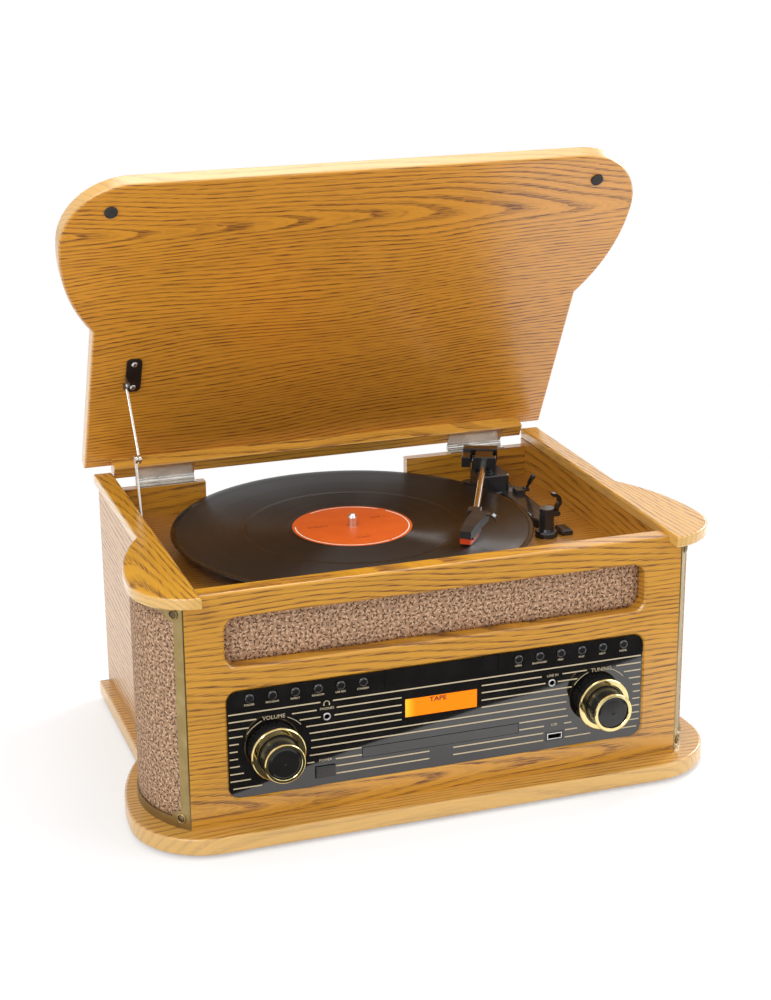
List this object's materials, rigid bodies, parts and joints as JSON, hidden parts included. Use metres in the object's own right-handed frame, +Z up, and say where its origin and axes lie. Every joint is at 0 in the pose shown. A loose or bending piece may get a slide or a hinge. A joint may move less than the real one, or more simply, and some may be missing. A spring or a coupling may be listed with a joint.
{
  "type": "record player",
  "caption": "Retro oak record player with a hinged lid on a folding stay, curved speaker pods, radio facia with two knobs and push buttons, and a disc drawer.",
  "frame": {"origin": "middle of the footprint's bounding box, on the floor under the rubber feet", "axes": "+Z up; +Y from the facia towards the hinges and the shortest extent; +X to the right seen from the front"},
  "size_m": [0.487, 0.3498, 0.4839],
  "materials": {
    "oak": "satin_lacquer",
    "black_rubber": "matte",
    "grille_cloth": "woven",
    "brown_board": "matte",
    "brass_frame": "satin",
    "black_plastic": "matte",
    "gloss_black": "gloss",
    "nickel": "satin",
    "polished_brass": "polished",
    "aluminium": "satin",
    "vinyl": "gloss",
    "chrome": "polished",
    "red_plastic": "gloss",
    "amber_window": "gloss",
    "circuit_board": "matte",
    "steel": "satin"
  },
  "bodies": {
    "cabinet": {"plinth_board": "oak", "rubber_feet": "black_rubber", "side_walls": "oak", "side_caps": "oak", "front_panel": "oak", "front_cloth": "grille_cloth", "back_panel": "oak", "rear_terminal_panel": "black_plastic", "pod_shells": "brown_board", "pod_cloths": "grille_cloth", "pod_frames": "brass_frame", "speakers": "black_plastic", "deck_board": "oak", "spindle_bearing": "polished_brass", "drive_belt": "black_rubber", "drive_motor": "steel", "facia": "gloss_black", "display_window": "amber_window", "front_sockets": "black_plastic", "circuit_boards": "circuit_board", "transformer": "steel", "cd_mechanism": "steel", "tonearm_base": "black_plastic", "hinge_fixed_leaves": "nickel", "stay_wall_bracket": "nickel"},
    "lid": {"lid_board": "oak", "lid_batten": "oak", "lid_bumpers": "black_rubber", "hinge_lid_leaves": "nickel", "stay_lid_bracket": "nickel"},
    "stay_upper": {"stay_upper_arm": "nickel"},
    "stay_lower": {"stay_lower_arm": "nickel"},
    "turntable": {"platter": "aluminium", "platter_mat": "black_rubber", "vinyl_record": "vinyl"},
    "pulley": {"motor_pulley": "polished_brass"},
    "arm_turret": {"tonearm_turret": "black_plastic"},
    "arm": {"tonearm_tube": "chrome", "counterweight": "black_plastic", "headshell": "black_plastic", "stylus": "red_plastic"},
    "cueing": {"cue_lever": "black_plastic"},
    "speed_switch": {"speed_lever": "black_plastic"},
    "rest_clip": {"arm_rest_clip": "black_plastic"},
    "volume": {"volume_knob": "gloss_black"},
    "tuning": {"tuning_knob": "gloss_black"},
    "drawer": {"cd_tray": "black_plastic"},
    "power": {"power_button": "black_plastic"},
    "button_left_1_cap": {"button_left_1": "black_plastic"},
    "button_left_2_cap": {"button_left_2": "black_plastic"},
    "button_left_3_cap": {"button_left_3": "black_plastic"},
    "button_left_4_cap": {"button_left_4": "black_plastic"},
    "button_left_5_cap": {"button_left_5": "black_plastic"},
    "button_left_6_cap": {"button_left_6": "black_plastic"},
    "button_right_1_cap": {"button_right_1": "black_plastic"},
    "button_right_2_cap": {"button_right_2": "black_plastic"},
    "button_right_3_cap": {"button_right_3": "black_plastic"},
    "button_right_4_cap": {"button_right_4": "black_plastic"},
    "button_right_5_cap": {"button_right_5": "black_plastic"},
    "button_right_6_cap": {"button_right_6": "black_plastic"}
  },
  "joints": [
    {"name": "lid_hinge", "type": "hinge", "parent": "cabinet", "child": "lid", "pos_m": [0, 0.15521, 0.1966], "axis": [1, 0, 0], "range_deg": [0, 62]},
    {"name": "stay_lower_hinge", "type": "hinge", "parent": "cabinet", "child": "stay_lower", "pos_m": [-0.1865, 0.05271, 0.182], "axis": [1, 0, 0], "range_deg": [0, 115.2]},
    {"name": "stay_upper_hinge", "type": "hinge", "parent": "lid", "child": "stay_upper", "pos_m": [-0.1835, 0.10919, 0.29615], "axis": [1, 0, 0], "range_deg": [-85.7, 0]},
    {"name": "platter_spin", "type": "hinge", "parent": "cabinet", "child": "turntable", "pos_m": [-0.0167, 0.02051, 0.1794], "axis": [0, 0, -1], "continuous": true},
    {"name": "pulley_spin", "type": "hinge", "parent": "cabinet", "child": "pulley", "pos_m": [-0.06488, -0.0483, 0.1706], "axis": [0, 0, -1], "continuous": true},
    {"name": "tonearm_swing", "type": "hinge", "parent": "cabinet", "child": "arm_turret", "pos_m": [0.13431, 0.10451, 0.198], "axis": [0, 0, 1], "range_deg": [-16, 28.67]},
    {"name": "tonearm_lift", "type": "hinge", "parent": "arm_turret", "child": "arm", "pos_m": [0.13431, 0.10451, 0.198], "axis": [-0.9096, 0.4155, 0], "range_deg": [0, 3]},
    {"name": "cue_lever_hinge", "type": "hinge", "parent": "cabinet", "child": "cueing", "pos_m": [0.16281, 0.07571, 0.17765], "axis": [-1, 0, 0], "range_deg": [0, 30]},
    {"name": "rest_clip_hinge", "type": "hinge", "parent": "cabinet", "child": "rest_clip", "pos_m": [0.15172, -0.01629, 0.18689], "axis": [0, 1, 0], "range_deg": [0, 50]},
    {"name": "speed_slide", "type": "slide", "parent": "cabinet", "child": "speed_switch", "axis": [0, 1, 0], "range_m": [-0.005, 0.005]},
    {"name": "volume_turn", "type": "hinge", "parent": "cabinet", "child": "volume", "pos_m": [-0.1342, -0.14829, 0.0732], "axis": [0, 1, 0], "range_deg": [-150, 150]},
    {"name": "tuning_turn", "type": "hinge", "parent": "cabinet", "child": "tuning", "pos_m": [0.1342, -0.14829, 0.0732], "axis": [0, 1, 0], "continuous": true},
    {"name": "drawer_slide", "type": "slide", "parent": "cabinet", "child": "drawer", "axis": [0, -1, 0], "range_m": [0, 0.13]},
    {"name": "power_press", "type": "slide", "parent": "cabinet", "child": "power", "axis": [0, 1, 0], "range_m": [0, 0.002], "stiffness_N_per_m": 700},
    {"name": "button_left_1_press", "type": "slide", "parent": "cabinet", "child": "button_left_1_cap", "axis": [0, 1, 0], "range_m": [0, 0.0012], "stiffness_N_per_m": 900},
    {"name": "button_left_2_press", "type": "slide", "parent": "cabinet", "child": "button_left_2_cap", "axis": [0, 1, 0], "range_m": [0, 0.0012], "stiffness_N_per_m": 900},
    {"name": "button_left_3_press", "type": "slide", "parent": "cabinet", "child": "button_left_3_cap", "axis": [0, 1, 0], "range_m": [0, 0.0012], "stiffness_N_per_m": 900},
    {"name": "button_left_4_press", "type": "slide", "parent": "cabinet", "child": "button_left_4_cap", "axis": [0, 1, 0], "range_m": [0, 0.0012], "stiffness_N_per_m": 900},
    {"name": "button_left_5_press", "type": "slide", "parent": "cabinet", "child": "button_left_5_cap", "axis": [0, 1, 0], "range_m": [0, 0.0012], "stiffness_N_per_m": 900},
    {"name": "button_left_6_press", "type": "slide", "parent": "cabinet", "child": "button_left_6_cap", "axis": [0, 1, 0], "range_m": [0, 0.0012], "stiffness_N_per_m": 900},
    {"name": "button_right_1_press", "type": "slide", "parent": "cabinet", "child": "button_right_1_cap", "axis": [0, 1, 0], "range_m": [0, 0.0012], "stiffness_N_per_m": 900},
    {"name": "button_right_2_press", "type": "slide", "parent": "cabinet", "child": "button_right_2_cap", "axis": [0, 1, 0], "range_m": [0, 0.0012], "stiffness_N_per_m": 900},
    {"name": "button_right_3_press", "type": "slide", "parent": "cabinet", "child": "button_right_3_cap", "axis": [0, 1, 0], "range_m": [0, 0.0012], "stiffness_N_per_m": 900},
    {"name": "button_right_4_press", "type": "slide", "parent": "cabinet", "child": "button_right_4_cap", "axis": [0, 1, 0], "range_m": [0, 0.0012], "stiffness_N_per_m": 900},
    {"name": "button_right_5_press", "type": "slide", "parent": "cabinet", "child": "button_right_5_cap", "axis": [0, 1, 0], "range_m": [0, 0.0012], "stiffness_N_per_m": 900},
    {"name": "button_right_6_press", "type": "slide", "parent": "cabinet", "child": "button_right_6_cap", "axis": [0, 1, 0], "range_m": [0, 0.0012], "stiffness_N_per_m": 900}
  ],
  "couplings": [
    {"joint": "stay_lower_hinge", "follows": "lid_hinge", "ratio": 1.8502},
    {"joint": "stay_upper_hinge", "follows": "lid_hinge", "ratio": -1.3742},
    {"joint": "pulley_spin", "follows": "platter_spin", "ratio": 11.667},
    {"joint": "cue_lever_hinge", "follows": "tonearm_lift", "ratio": 10}
  ]
}
